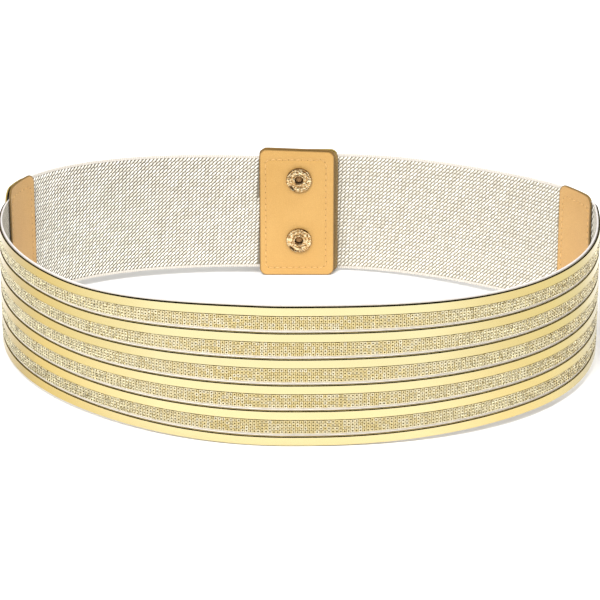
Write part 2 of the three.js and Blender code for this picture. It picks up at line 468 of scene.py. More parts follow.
def turnedBy(graph, rotation, x, y, z):
    turn = graph.node("FunctionNodeEulerToRotation", None, {0: graph.vector(x, y, z)})
    return graph.node("FunctionNodeRotateRotation", {"rotation_space": "LOCAL"},
                      {"Rotation": rotation, "Rotate By": turn})


def spread(graph, low, high, seed):
    return graph.node("FunctionNodeRandomValue", {"data_type": "FLOAT"},
                      {"Min": low, "Max": high, "Seed": seed}, "Value")


def wobble(graph, reach, seed):
    return spread(graph, reach * -1.0, reach, seed)


def store(graph, geometry, domain, name, value):
    return graph.node("GeometryNodeStoreNamedAttribute", {"data_type": "FLOAT", "domain": domain},
                      {"Geometry": geometry, "Name": name, "Value": value})


# Instances on points, a stored random shade for each, made real and given their material
def finishTree(graph, points, shape, rotation, scale, seed, material):
    placed = graph.node("GeometryNodeInstanceOnPoints", None,
                        {"Points": points, "Instance": shape, "Rotation": rotation, "Scale": scale})
    shaded = store(graph, placed, "INSTANCE", "shade", spread(graph, 0.0, 1.0, seed))
    real = graph.node("GeometryNodeRealizeInstances", None, {"Geometry": shaded})
    coated = graph.node("GeometryNodeSetMaterial", None, {"Geometry": real, "Material": material})
    graph.node("NodeGroupOutput", None, {"Geometry": coated})


# Runs a tree on a host mesh and keeps the result as a plain mesh
def growPiece(name, host, tree, values, smooth):
    holder = addObject(host)
    holder.name = name
    modifier = holder.modifiers.new("grow", "NODES")
    modifier.node_group = tree
    for item in tree.interface.items_tree:
        if item.in_out == "INPUT" and item.name in values:
            modifier[item.identifier] = values[item.name]
    bpy.context.view_layer.update()
    keepResult(holder, modifier)
    setSmooth(holder.data, smooth)
    return holder


# Points on a wall face with their directions; side is 1 for the outer face, -1 for the inner
def wallSites(name, distance, depth, height, side):
    distance, height = np.ravel(distance), np.ravel(height)
    alongX, alongY = planTangent(distance)
    flat = np.zeros_like(alongX)
    mesh = bpy.data.meshes.new(name)
    mesh.from_pydata(wallPoint(distance, depth, height).tolist(), [], [])
    storeArrow(mesh, "along", np.stack([alongX * side, alongY * side, flat], axis=-1))
    storeArrow(mesh, "facing", np.stack([alongY * side, -alongX * side, flat], axis=-1))
    return mesh


# Finishes: each function gives the inputs of its material's shader
def coords(graph):
    return graph.node("ShaderNodeTexCoord", None, None, "Object")


# Distance along the belt and height, in metres
def runCoords(graph, scale=(1, 1, 1)):
    run = graph.node("ShaderNodeUVMap", {"uv_map": "run"})
    return graph.node("ShaderNodeMapping", None, {"Vector": run, "Scale": scale})


def noise(graph, scale, detail=2.0, place=None):
    return graph.node("ShaderNodeTexNoise", None,
                      {"Vector": place or coords(graph), "Scale": scale, "Detail": detail}, "Fac")


# Fine relief, from its depth in metres and its strength
def bump(graph, height, distance, strength):
    return graph.node("ShaderNodeBump", None,
                      {"Height": height, "Distance": distance, "Strength": strength})


def stored(graph, name):
    return graph.node("ShaderNodeAttribute", {"attribute_name": name}, None, "Fac")


# Painted shade: how much darker the belt is made towards its left
def leftShade(graph, look):
    return graph.span(graph.part(coords(graph), "X"), *look["leftReach"], look["leftShare"], 0.0)


goldLook = {
    # upper strips and lowest strips: pale in the middle, deep towards the ends as painted reflection; the
    # lowest strips are paler as painted light
    "upper": {"pale": (0.60, 0.535, 0.30, 1),
              "deep": (0.48, 0.36, 0.118, 1), "deepRight": (0.51, 0.42, 0.17, 1)},
    "low": {"pale": (0.72, 0.615, 0.33, 1),
            "deep": (0.62, 0.46, 0.15, 1), "deepRight": (0.63, 0.52, 0.24, 1)},
    "lowReach": (0.002, 0.036),  # metres up over which low turns to upper
    "paleReach": (0.055, 0.12),  # metres along over which pale turns to deep
    "rightReach": (0.09, 0.125),  # metres along over which the right end's deep takes over
    # painted shade: the very ends of the strips are darkened by the end shade
    "endReach": (0.12, 0.143), "endShade": (0.07, 0.05, 0.01, 1), "endLeft": 0.25, "endRight": 0.12,
    "scratchScale": (14, 1600, 1), "cloudScale": 22.0, "cloudDeep": 0.4,
    "roughness": 0.12, "relief": (0.0003, 0.25),
}


# The gold's colour holds painted reflection and shade: deeper and darker towards the ends, paler on the
# lowest strips
def goldFinish(graph, look):
    lines = noise(graph, 1.0, 3.0, runCoords(graph, look["scratchScale"]))
    cloud = noise(graph, look["cloudScale"])
    along = graph.part(runCoords(graph), "X")
    away = graph.span(graph.maths("ABSOLUTE", along), *look["paleReach"])
    deeper = graph.span(away + (cloud - 0.5) * look["cloudDeep"], 0.0, 1.0)
    rightward = graph.span(along, *look["rightReach"])
    tones = look["upper"], look["low"]
    deeps = [graph.blend(rightward, tone["deep"], tone["deepRight"]) for tone in tones]
    upper, low = [graph.blend(deeper, tone["pale"], deep) for tone, deep in zip(tones, deeps)]
    colour = graph.blend(graph.span(graph.part(coords(graph), "Z"), *look["lowReach"]), low, upper)
    near, far = look["endReach"]
    shaded = graph.span(along, near, far, 0.0, look["endRight"])
    shaded = shaded + graph.span(along, -far, -near, look["endLeft"], 0.0)
    return {
        "Base Color": graph.blend(shaded, colour, look["endShade"]), "Metallic": 1.0,
        "Roughness": look["roughness"] + 0.06 * lines + 0.04 * cloud,
        "Normal": bump(graph, cloud * 0.4 + lines * 0.04, *look["relief"]),
    }


studLook = {
    # painted glints: random studs are lifted to a near white colour
    "rim": (0.81, 0.69, 0.37, 1), "bright": (0.98, 0.92, 0.70, 1), "sideRim": (0.87, 0.80, 0.57, 1),
    # painted reflection: the studs pale towards the sides and take other colours at the ends
    "sideReach": (0.03, 0.09),  # metres from the middle over which the studs turn paler
    "endRimLeft": (0.70, 0.63, 0.44, 1), "endRimRight": (0.50, 0.39, 0.19, 1),
    "endReach": (0.086, 0.112),  # metres from the middle over which the ends' colours take over
    # the glitter towards the sides is painted: dark flecks and bright sparkles in the colour
    "glitterReach": (0.04, 0.075),  # metres from the middle over which the studs start to glitter unevenly
    "dullAside": (0.40, 0.33, 0.16, 1), "flash": (1.0, 0.93, 0.64, 1),
    "dullBelow": (0.38, 0.48), "flashAbove": (0.52, 0.58), "brightAbove": (0.45, 1.15),
    # painted shade in the sunk tops, lighter towards the sides
    "pit": (0.17, 0.12, 0.035, 1), "pitAside": (0.34, 0.27, 0.12, 1),
    "grainScale": 1500.0, "roughness": 0.24, "relief": (0.00005, 0.5), "baseRelief": (0.0001, 0.6),
    "base": tint(126, 102, 46), "basePale": tint(208, 184, 112), "baseScale": 900.0,
}


# Stud colour with painted light: glints, glitter flecks, shade in the pits, and reflection that pales
# towards the sides and changes at the ends
def studFinish(graph, look):
    shade = stored(graph, "shade")
    grain = noise(graph, look["grainScale"], 1.0)
    across = graph.part(coords(graph), "X")
    away = graph.maths("ABSOLUTE", across)
    glitter = graph.span(away, *look["glitterReach"])
    near, far = look["endReach"]
    unlitFlecks = graph.span(grain, *look["dullBelow"], 1.0, 0.0) * glitter
    bright = graph.span(shade + 0.3 * grain, *look["brightAbove"]) * (1 - glitter * 0.5)
    rim = graph.blend(graph.span(away, *look["sideReach"]), look["rim"], look["sideRim"])
    rim = graph.blend(graph.span(across, near, far), rim, look["endRimRight"])
    rim = graph.blend(graph.span(across, -far, -near, 1.0, 0.0), rim, look["endRimLeft"])
    rim = graph.blend(unlitFlecks, rim, look["dullAside"])
    rim = graph.blend(graph.span(grain, *look["flashAbove"]) * glitter, rim, look["flash"])
    rim = graph.blend(bright, rim, look["bright"])
    pit = graph.blend(glitter, look["pit"], look["pitAside"])
    return {
        "Base Color": graph.blend(stored(graph, "pit"), rim, pit), "Metallic": 1.0,
        "Roughness": look["roughness"] + 0.15 * shade,
        "Normal": bump(graph, grain, *look["relief"]),
    }


def studBaseFinish(graph, look):
    grain = noise(graph, look["baseScale"], 3.0)
    return {
        "Base Color": graph.blend(grain, look["base"], look["basePale"]),
        "Metallic": 0.6, "Roughness": 0.35 + 0.3 * grain,
        "Normal": bump(graph, grain, *look["baseRelief"]),
    }


backingLook = {
    "skin": tint(224, 216, 204), "skinPale": tint(240, 233, 222),
    # painted shade: the top edge is greyer
    "rim": tint(200, 194, 191), "rimPale": tint(220, 215, 210),
    "cloth": tint(98, 92, 78), "clothPale": tint(240, 236, 224), "clothLeft": tint(110, 100, 82),
    # metres across over which the inner face is darker with painted shade, and how much
    "leftReach": (-0.12, -0.06), "leftShare": 0.3,
    "lattice": 0.0030,  # metres between the crossing lines of the inner face
    "speckleScale": 600.0, "strokeReach": (-0.2, 1.0), "relief": (0.00012, 0.7),
}


def backingFinish(graph, look):
    run = runCoords(graph)
    along, up = graph.part(run, "X"), graph.part(run, "Y")
    turn = 2 * math.pi / look["lattice"]
    slant = graph.maths("SINE", (along + up) * turn)
    lattice = slant * graph.maths("SINE", (along - up) * turn)
    inside = stored(graph, "inside")
    speckle = noise(graph, look["speckleScale"], 3.0)
    strokes = graph.span(slant * 0.6 + lattice * 0.5 + speckle * 0.9, *look["strokeReach"])
    cloth = graph.blend(strokes, look["cloth"], look["clothPale"])
    cloth = graph.blend(leftShade(graph, look), cloth, look["clothLeft"])
    skin = graph.blend(speckle, look["skin"], look["skinPale"])
    skin = graph.blend(stored(graph, "rim"), skin, graph.blend(speckle, look["rim"], look["rimPale"]))
    return {
        "Base Color": graph.blend(inside, skin, cloth), "Roughness": 0.35 + 0.5 * inside,
        "Normal": bump(graph, lattice * inside + speckle * 0.2, *look["relief"]),
    }


weaveLook = {
    "ground": tint(98, 90, 74), "groundPale": tint(182, 175, 157), "groundLeft": tint(50, 44, 33),
    # metres across over which the ground is darker with painted shade, and how much
    "leftReach": (-0.11, 0.02), "leftShare": 0.78,
    "thread": tint(220, 214, 200), "threadPale": tint(252, 249, 240),
    "selvage": tint(196, 190, 182), "selvagePale": tint(222, 216, 207),
    "rib": 0.0009,  # metres between the ribs of the borders
    "fuzzScale": 1100.0, "fibreScale": 2600.0, "ribReach": (-1.0, 1.6), "threadReach": (0.1, 0.8),
    "groundRelief": (0.00015, 0.7), "threadRelief": (0.00008, 0.6),
}


def elasticFinish(graph, look):
    ribs = graph.maths("SINE", graph.part(runCoords(graph), "X") * (2 * math.pi / look["rib"]))
    fuzz = noise(graph, look["fuzzScale"], 3.0)
    ground = graph.blend(fuzz, look["ground"], look["groundPale"])
    ground = graph.blend(leftShade(graph, look), ground, look["groundLeft"])
    border = graph.blend(graph.span(ribs + fuzz, *look["ribReach"]), look["selvage"], look["selvagePale"])
    return {
        "Base Color": graph.blend(stored(graph, "selvage"), ground, border),
        "Roughness": 0.75 + 0.2 * fuzz, "Sheen Weight": 0.2,
        "Normal": bump(graph, ribs * 0.5 + fuzz, *look["groundRelief"]),
    }


def threadFinish(graph, look):
    fibre = noise(graph, look["fibreScale"])
    mixed = graph.span(stored(graph, "shade") * 0.6 + fibre * 0.4, *look["threadReach"])
    return {
        "Base Color": graph.blend(mixed, look["thread"], look["threadPale"]),
        "Roughness": 0.7 + 0.2 * fibre, "Sheen Weight": 0.25,
        "Normal": bump(graph, fibre, *look["threadRelief"]),
    }


tanLook = {
    "colour": tint(198, 154, 84), "pale": tint(206, 163, 94),
    "crease": tint(172, 124, 62), "creaseShare": 0.22,
    "edge": tint(96, 70, 30), "edgeDark": 0.85,
    "edgeReach": (0.15, 0.75),  # millimetres in from the cut edge
    # painted shade: the face against the webbing is dark as a gap between layers
    "inside": tint(66, 52, 28),  # the face that lies against the webbing
    "metal": 0.0, "roughness": 0.5, "coat": 0.12,
    "grainScale": 1300.0, "cloudScale": 45.0, "fineScale": 1800.0,
    "grainReach": (0.0, 0.25), "cloudReach": (0.3, 0.75), "relief": (0.00012, 0.35),
}
# the covers' leather: the tan made darker as painted shade
shadedCoverLook = {
    **tanLook,
    "colour": tint(196, 152, 92), "pale": tint(208, 166, 104), "crease": tint(158, 118, 64),
    "edge": tint(96, 76, 36),
}
oliveLook = {
    **tanLook,
    "colour": tint(140, 112, 62), "pale": tint(160, 132, 80), "crease": tint(104, 80, 42),
    "edge": tint(112, 88, 46), "edgeDark": 0.5,
}
goldLeatherLook = {
    **tanLook,
    "colour": tint(212, 184, 94), "pale": tint(234, 212, 132), "crease": tint(120, 98, 40),
    "edge": tint(170, 140, 60), "edgeDark": 0.6, "metal": 0.45, "roughness": 0.38, "coat": 0.2,
    "grainScale": 1000.0, "relief": (0.00012, 0.5),
}


def leatherFinish(graph, look):
    cells = graph.node("ShaderNodeTexVoronoi", {"feature": "DISTANCE_TO_EDGE"},
                       {"Vector": coords(graph), "Scale": look["grainScale"]}, "Distance")
    grain = graph.span(cells, *look["grainReach"])
    cloud = noise(graph, look["cloudScale"], 4.0)
    fine = noise(graph, look["fineScale"])
    worn = graph.span(stored(graph, "inset"), *look["edgeReach"], 1.0, 0.0)
    colour = graph.blend(graph.span(cloud, *look["cloudReach"]), look["colour"], look["pale"])
    colour = graph.blend((1 - grain) * look["creaseShare"], colour, look["crease"])
    colour = graph.blend(worn * look["edgeDark"], colour, look["edge"])
    return {
        "Base Color": graph.blend(stored(graph, "shadedBack"), colour, look["inside"]),
        "Metallic": look["metal"], "Roughness": look["roughness"] + 0.12 * fine - 0.08 * grain,
        "Coat Weight": look["coat"], "Coat Roughness": 0.35,
        "Normal": bump(graph, grain * 0.7 + fine * 0.3 + cloud * 0.8, *look["relief"]),
    }


snapLook = {
    # painted reflection: dark and pale arcs and bright flecks, and a dark eyelet edge and pressed stretch
    "dark": tint(140, 98, 54), "pale": tint(208, 170, 114), "bright": tint(253, 234, 192),
    "outline": tint(104, 76, 38), "fineScale": 1100.0,
    "arcReach": (0.36, 0.56), "fineReach": (0.46, 0.64), "relief": (0.0006, 1.0),
    # the pin: brass darkened as painted shade inside the hole
    "pin": tint(146, 108, 66), "pinPale": tint(192, 152, 102), "pinScale": 900.0,
    "pinRelief": (0.0002, 0.8),
}


# Snap colour with painted reflection
def snapFinish(graph, look):
    swirl = graph.node("ShaderNodeAttribute", {"attribute_name": "swirl"}, None, "Vector")
    arcs = noise(graph, 1.0, 3.0, swirl)
    fine = noise(graph, look["fineScale"])
    colour = graph.blend(graph.span(arcs, *look["arcReach"]), look["dark"], look["pale"])
    colour = graph.blend(graph.span(fine, *look["fineReach"]), colour, look["bright"])
    return {
        "Base Color": graph.blend(stored(graph, "outline"), colour, look["outline"]),
        "Metallic": 0.85, "Roughness": 0.14 + 0.12 * fine,
        "Normal": bump(graph, arcs + fine * 0.4, *look["relief"]),
    }


def pinFinish(graph, look):
    cloud = noise(graph, look["pinScale"])
    return {
        "Base Color": graph.blend(cloud, look["pin"], look["pinPale"]),
        "Metallic": 0.3, "Roughness": 0.45 + 0.2 * cloud,
        "Normal": bump(graph, cloud, *look["pinRelief"]),
    }


stitchLook = {
    # the needle holes' dark colour is painted shade
    "thread": tint(200, 156, 92), "threadPale": tint(228, 190, 128), "needle": tint(116, 84, 42),
    "fibreScale": 3000.0, "relief": (0.00005, 0.6),
}


def stitchFinish(graph, look):
    fibre = noise(graph, look["fibreScale"])
    thread = graph.blend(stored(graph, "shade") * 0.6 + fibre * 0.4, look["thread"], look["threadPale"])
    return {
        "Base Color": graph.blend(stored(graph, "needle"), thread, look["needle"]),
        "Roughness": 0.55 + 0.2 * fibre, "Sheen Weight": 0.15,
        "Normal": bump(graph, fibre, *look["relief"]),
    }


paints = {
    "gold": newPaint("polished_gold", goldFinish, goldLook),
    "stud": newPaint("stud_metal", studFinish, studLook),
    "studBase": newPaint("stud_base", studBaseFinish, studLook),
    "backing": newPaint("pale_backing", backingFinish, backingLook),
    "elastic": newPaint("elastic_ground", elasticFinish, weaveLook),
    "thread": newPaint("elastic_thread", threadFinish, weaveLook),
    "tan": newPaint("tan_leather", leatherFinish, tanLook),
    "cover": newPaint("shaded_cover_leather", leatherFinish, shadedCoverLook),
    "olive": newPaint("olive_leather", leatherFinish, oliveLook),
    "goldLeather": newPaint("gold_leather", leatherFinish, goldLeatherLook),
    "snap": newPaint("snap_metal", snapFinish, snapLook),
    "pin": newPaint("shaded_snap_pin", pinFinish, snapLook),
    "stitch": newPaint("tan_stitch", stitchFinish, stitchLook),
}
print("finishes made:", len(paints))

# Front panel
panel = {
    "height": 62, "outer": 0.95, "inner": 1.75, "edge": 0.35,
    "ends": (-214, 218), "stripEnds": (-206.7, 212.3),
    "narrowing": {-1: (5.0, 1.65), 1: (1.6, 2.8)},  # by side: drop of the top, rise of the bottom
    "narrowFrom": 12, "narrowTo": 107,
    "stations": 280, "near": 0.02,
    # half profile of the bare band
    "bead": [(0.95, 0.6), (0.6, 0.5), (0.5, 0.36), (0.54, 0.22), (0.92, 0.1)],
}
strips = {
    "count": 6, "firstTop": 61.25, "pitch": 11.36, "height": 4.1,
    "outer": 0.0, "inner": 0.75, "gap": 0.1, "bareBand": 1.3,
    "topRound": (0.7, 0.7), "topRoundAside": (0.45, 0.5), "asideFrom": 50, "asideTo": 115,
    "lowRound": (0.35, 0.25),  # depth and height of the rounded edges
    "crown": [(0.01, 0.15), (0.02, 0.6)],  # how far in the face lies, by distance from a rounded edge
}


def panelEdges(distance):
    topDrop, bottomRise = panel["narrowing"][-1 if distance < 0 else 1]
    share = float(smoothStep(panel["narrowFrom"], panel["narrowTo"], abs(distance)))
    return bottomRise * share, panel["height"] - topDrop * share


# A height given at the front centre, carried along the narrowing panel
def panelHeightAt(distance, height):
    bottom, top = panelEdges(distance)
    return bottom + (top - bottom) * height / panel["height"]


def goldEdges(distance, number):
    top = panelHeightAt(distance, strips["firstTop"] - strips["pitch"] * (number - 1))
    return top - strips["height"], top


def glitterEdges(distance, number):
    below, above = goldEdges(distance, number + 1)[1], goldEdges(distance, number)[0]
    return below + strips["bareBand"], above - strips["gap"]


stripStations = np.linspace(*panel["stripEnds"], panel["stations"])


def makeBacking():
    def section(distance):
        bottom, top = panelEdges(distance)
        corners = roundSection(panel["outer"], panel["inner"], bottom, top, panel["edge"])
        half = len(corners) // 2
        beads = []
        for number in range(1, strips["count"]):
            middle = goldEdges(distance, number + 1)[1] + strips["bareBand"] / 2
            beads += [[depth, middle + up] for depth, up in panel["bead"]]
            beads += [[depth, middle - down] for depth, down in panel["bead"][::-1]]
        return corners[:half] + beads + corners[half:]

    before = np.linspace(panel["ends"][0], panel["stripEnds"][0], 6)[:-1]
    after = np.linspace(panel["stripEnds"][1], panel["ends"][1], 6)[1:]
    stations = np.concatenate([before, stripStations, after])
    mesh = sweepBand("backing_band", stations, section)
    depths, heights = np.moveaxis(np.array([section(distance) for distance in stations]), -1, 0)
    tops = np.array([panelEdges(distance)[1] for distance in stations])[:, None]
    storeNumber(mesh, "inside", depths > panel["inner"] - panel["near"])
    # the top edge is marked for painted shade
    storeNumber(mesh, "rim", heights > tops - panel["edge"] - panel["near"])
    finishPiece(addObject(mesh, paints["backing"]), "backing", "panel_backing")


def makeGoldStrips():
    outer, inner = strips["outer"], strips["inner"]
    lowDepth, lowHeight = strips["lowRound"]
    for number in range(1, strips["count"] + 1):
        def section(distance):
            bottom, top = goldEdges(distance, number)
            aside = float(smoothStep(strips["asideFrom"], strips["asideTo"], abs(distance)))
            rounds = zip(strips["topRound"], strips["topRoundAside"])
            topDepth, topHeight = [middle + (side - middle) * aside for middle, side in rounds]
            face = [[outer + inward, along] for inward, along in strips["crown"]]
            corners = [[inner, top]]
            corners += quarterRound(outer + topDepth, top - topHeight, topDepth, topHeight, math.pi / 2, 9)
            corners += [[depth, top - topHeight - down] for depth, down in face]
            corners += [[depth, bottom + lowHeight + down] for depth, down in face[::-1]]
            corners += quarterRound(outer + lowDepth, bottom + lowHeight, lowDepth, lowHeight, math.pi, 4)
            corners += [[inner, bottom]]
            return corners

        mesh = sweepBand(f"gold_band_{number}", stripStations, section)
        finishPiece(addObject(mesh, paints["gold"]), "gold", f"gold_strip_{number}")


studs = {
    "rows": 4, "pitch": 1.6, "fromStart": 0.9, "fromEnd": 0.8, "sizes": (0.94, 1.04),
    "Stud Width": 1.40, "Stud Height": 1.34, "Stud Depth": 0.38,
    "Rim Share": 0.60, "Pit Depth": 0.26, "Taper": 0.9,
    "Tilt": 0.09, "Seed": 7,
    "tiltAside": 0.8, "asideReach": (35, 90),  # how much more the studs lean towards the panel's ends
    "seat": 0.42, "baseEdge": 0.12,  # depth of the base's face, inward from the gold face, and its rounding
}


# One stud: a small block with a sunk top
def makeStudTree():
    tree, graph, given = newTree("stud_field", studs)
    size = given.also
    box = graph.vector(size("Stud Width") * mm, size("Stud Height") * mm, size("Stud Depth") * mm)
    block = graph.node("GeometryNodeMeshCube", None, {"Size": box})
    isTop = graph.node("FunctionNodeCompare", {"data_type": "FLOAT", "operation": "GREATER_THAN"},
                       {"A": graph.part(graph.node("GeometryNodeInputNormal"), "Z"), "B": 0.5})
    block = graph.node("GeometryNodeScaleElements", {"domain": "FACE"},
                       {"Geometry": block, "Selection": isTop, "Scale": size("Taper")})
    rim = graph.node("GeometryNodeExtrudeMesh", {"mode": "FACES"},
                     {"Mesh": block, "Selection": isTop, "Offset Scale": 0.0, "Individual": False})
    hole = graph.node("GeometryNodeScaleElements", {"domain": "FACE"},
                      {"Geometry": rim, "Selection": rim.also("Top"), "Scale": size("Rim Share")})
    sink = graph.node("GeometryNodeExtrudeMesh", {"mode": "FACES"}, {
        "Mesh": hole, "Selection": rim.also("Top"), "Offset Scale": size("Pit Depth") * -mm,
        "Individual": False})
    # the sunk top and its walls are marked for painted shade
    deep = store(graph, sink, "FACE", "pit", sink.also("Top") + sink.also("Side") * 0.75)
    shape = graph.node("GeometryNodeSetPosition", None, {
        "Geometry": deep, "Offset": graph.vector(z=size("Stud Depth") * (mm / 2))})
    seed = size("Seed")
    tilt = size("Tilt") * storedOn(graph, "loose", "FLOAT")
    rotation = turnedBy(graph, facingRotation(graph), wobble(graph, tilt, seed),
                        wobble(graph, tilt, seed + 1), wobble(graph, tilt * 0.6, seed + 2))
    scale = spread(graph, *studs["sizes"], seed + 3)
    finishTree(graph, given, shape, rotation, scale, seed + 4, paints["stud"])
    return tree


def makeGlitter():
    tree = makeStudTree()
    first, last = panel["stripEnds"]
    distance = np.arange(first + studs["fromStart"], last - studs["fromEnd"], studs["pitch"])
    shares = (np.arange(studs["rows"]) + 0.5) / studs["rows"]
    for number in range(1, strips["count"]):
        def section(at):
            levels = glitterEdges(at, number)
            return roundSection(studs["seat"], strips["inner"], *levels, studs["baseEdge"], 2)

        mesh = sweepBand(f"stud_base_{number}", stripStations, section)
        finishPiece(addObject(mesh, paints["studBase"]), "glitter", f"glitter_strip_{number}")

        edges = np.array([glitterEdges(at, number) for at in distance])
        height = edges[:, :1] + (edges[:, 1:] - edges[:, :1]) * shares
        places = np.repeat(distance[:, None], studs["rows"], axis=1)
        host = wallSites(f"stud_sites_{number}", places, studs["seat"], height, 1)
        aside = smoothStep(*studs["asideReach"], np.abs(places))
        storeNumber(host, "loose", 1 + studs["tiltAside"] * aside)
        values = {**studs, "Seed": studs["Seed"] + 10 * number}
        finishPiece(growPiece(f"studs_{number}", host, tree, values, smooth=False), "glitter")


makeBacking()
makeGoldStrips()
makeGlitter()
print("front panel made")

# Elastic back
elastic = {
    "outer": 0.95, "inner": 1.95, "stations": 110, "roundShare": 0.8,
    "stepFrom": 110, "stepTo": 22,
    # by side: start, cover's end, bottom and top there, bottom and top at the tab, step outward, end,
    # and how far from the back centre the weave of each face stops
    "left": {"sign": -1, "start": 216, "coverEnd": 231.3, "cover": (3.6, 61.2), "tab": (3.6, 58.0),
             "stepOut": -0.35, "endX": -3.5, "innerTo": 14.2, "outerTo": 14.2},
    "right": {"sign": 1, "start": 220, "coverEnd": 235.2, "cover": (3.6, 61.2), "tab": (0.7, 57.1),
              "stepOut": 3.75, "endX": 12, "innerTo": 20.0, "outerTo": 22.6},
}
weave = {
    "columnPitch": 1.76, "rows": 30, "selvage": 1.4, "seat": 0.16,
    "height": 58.3, "fromCover": 0.6, "selvageFade": 0.15, "near": 0.01, "sizes": (0.94, 1.04),
    "Dash Length": 3.1, "Dash Width": 1.0, "Dash Height": 0.6,
    "Slant": math.radians(45), "Slant Spread": 0.06, "Seed": 31,
}


def elasticAt(side, distance):
    end = elastic[side]
    length = halves[side]["length"]
    toCentre = length - np.abs(distance)
    along = np.clip(toCentre / (length - end["coverEnd"]), 0, 1)
    bottom = end["tab"][0] + (end["cover"][0] - end["tab"][0]) * along
    top = end["tab"][1] + (end["cover"][1] - end["tab"][1]) * along
    step = end["stepOut"] * (1 - smoothStep(elastic["stepTo"], elastic["stepFrom"], toCentre))
    return bottom, top, step


# One float of the weave: a slanted bead
def makeWeaveTree():
    tree, graph, given = newTree("weave_field", weave)
    size = given.also
    ball = graph.node("GeometryNodeMeshIcoSphere", None, {"Radius": 1.0, "Subdivisions": 1})
    half = graph.vector(*(size(f"Dash {side}") * (mm / 2) for side in ("Length", "Width", "Height")))
    shape = graph.node("GeometryNodeTransform", None, {"Geometry": ball, "Scale": half})
    seed = size("Seed")
    slant = size("Slant") + wobble(graph, size("Slant Spread"), seed)
    rotation = turnedBy(graph, facingRotation(graph), 0.0, 0.0, slant)
    scale = spread(graph, *weave["sizes"], seed + 1)
    finishTree(graph, given, shape, rotation, scale, seed + 2, paints["thread"])
    return tree


def makeElastic():
    tree = makeWeaveTree()
    for side in ("left", "right"):
        end = elastic[side]
        sign, length = end["sign"], halves[side]["length"]

        def section(distance):
            bottom, top, step = elasticAt(side, distance)
            outer, inner = groundDepths(step)
            radius = (inner - outer) / 2 * elastic["roundShare"]
            corners = roundSection(outer, inner, bottom, top, radius)
            lip, fade = weave["selvage"], weave["selvageFade"]
            levels = [top - lip + fade, top - lip, bottom + lip, bottom + lip - fade]
            half = len(corners) // 2
            return [*corners[:half], *([outer, level] for level in levels),
                    *corners[half:], *([inner, level] for level in levels[::-1])]

        stations = sign * np.linspace(end["start"], length - sign * end["endX"], elastic["stations"])
        mesh = sweepBand(f"elastic_band_{side}", stations, section)
        # 1 on the plain borders, 0 on the woven middle
        heights = np.array([section(distance) for distance in stations])[..., 1]
        bottom, top = (level[:, None] for level in elasticAt(side, stations)[:2])
        fromEdge = np.minimum(heights - bottom, top - heights)
        storeNumber(mesh, "selvage", fromEdge < weave["selvage"] - weave["near"])
        finishPiece(addObject(mesh, paints["elastic"]), "elastic", f"elastic_{side}")

        for face, facing, reach in (("inner", -1, end["innerTo"]), ("outer", 1, end["outerTo"])):
            host = weaveSites(side, facing, reach)
            values = {**weave, "Seed": weave["Seed"] + 5 * facing + 50 * sign}
            finishPiece(growPiece(f"weave_{side}_{face}", host, tree, values, smooth=True), "elastic")


# Depths of the ground's two faces, which the floats of the weave stand on
def groundDepths(step):
    return elastic["outer"] - step + weave["seat"], elastic["inner"] - step - weave["seat"]


def weaveSites(side, facing, reach):
    length, sign = halves[side]["length"], elastic[side]["sign"]
    pitch, rows, lip = weave["columnPitch"], weave["rows"], weave["selvage"]
    start, finish = elastic[side]["coverEnd"] + weave["fromCover"], length - reach
    shift = (weave["height"] - 2 * lip) / rows / math.tan(weave["Slant"])
    distances, heights, depths = [], [], []
    for row in range(rows):
        # positions grow in the direction that the floats lean to
        offset = (row * shift) % pitch
        if facing * sign < 0:
            offset = pitch - offset
        at = np.arange(start + offset, finish, pitch)
        bottom, top, step = elasticAt(side, at)
        distances.append(at * sign)
        heights.append(bottom + lip + (top - bottom - 2 * lip) * (row + 0.5) / rows)
        depths.append(groundDepths(step)[0 if facing > 0 else 1])
    distance, height, depth = (np.concatenate(x) for x in (distances, heights, depths))
    return wallSites(f"weave_sites_{side}", distance, depth, height, facing)


makeElastic()
print("elastic made")

# Leather covers and tabs
covers = {
    "bottom": 1.5, "cell": 0.8,
    "seam": (2.4, 2.4, 3.4, 5.2),  # inset of the stitching at the two sides, the bottom and the top
    "ends": {"left": 231.3, "right": 235.2},
    "outer": {"left": 207.3, "right": 212.9, "top": 61.4, "corner": 6.7, "middleDepth": 0.35, "facing": 1,
              "thickness": 0.7, "edge": 0.3},
    "inner": {"left": 206.6, "right": 210.4, "top": 62.6, "corner": 4.2, "middleDepth": 2.6, "facing": -1,
              "thickness": 0.9, "edge": 0.38},
}
tabs = {
    "width": 34.5, "corner": 3.5, "thickness": 1.0, "edge": 0.42,
    "seam": (2.8, 3.8, 3.8, 5.0), "fineCell": 0.6, "plainCell": 2.0,
    "dimple": (0.12, 6.0, 1.1),  # depth, radius and width of the pressed ring round each snap
    "holeSides": 48, "punch": 4.0,
    "slantFrom": 8.0,  # the top edge's fall fades out over this much height
    "plates": [
        # name, centre, near face, height, fall of the top edge, hole radius, facing, finish, fine
        ("front_lining", 3.35, 69.7, 62.0, 1.4, 2.9, -1, "tan", True),
        ("front_leather", 3.35, 72.1, 62.0, 1.4, 2.9, 1, "tan", False),
        ("back_lining", 5.05, 73.8, 59.7, 0.0, 5.2, -1, "olive", False),
        ("back_leather", 5.05, 76.2, 59.7, 0.0, 1.7, 1, "goldLeather", True),
    ],
}
snapsAt = {"x": 4.3, "levels": {"upper": 47.1, "lower": 17.5}}

stitch = {
    "Stitch Pitch": 2.9, "Stitch Length": 1.8, "Stitch Width": 0.44, "Stitch Height": 0.4,
    "Needle Size": 0.5, "Lean": 0.10, "Seed": 5,
    "sizes": (0.92, 1.06), "leanSpread": 0.05, "pathStep": 0.8,
    "sink": 0.06, "corner": 1.2, "cornerLeast": 0.8, "channel": (0.16, 0.6),  # depth and half width
}
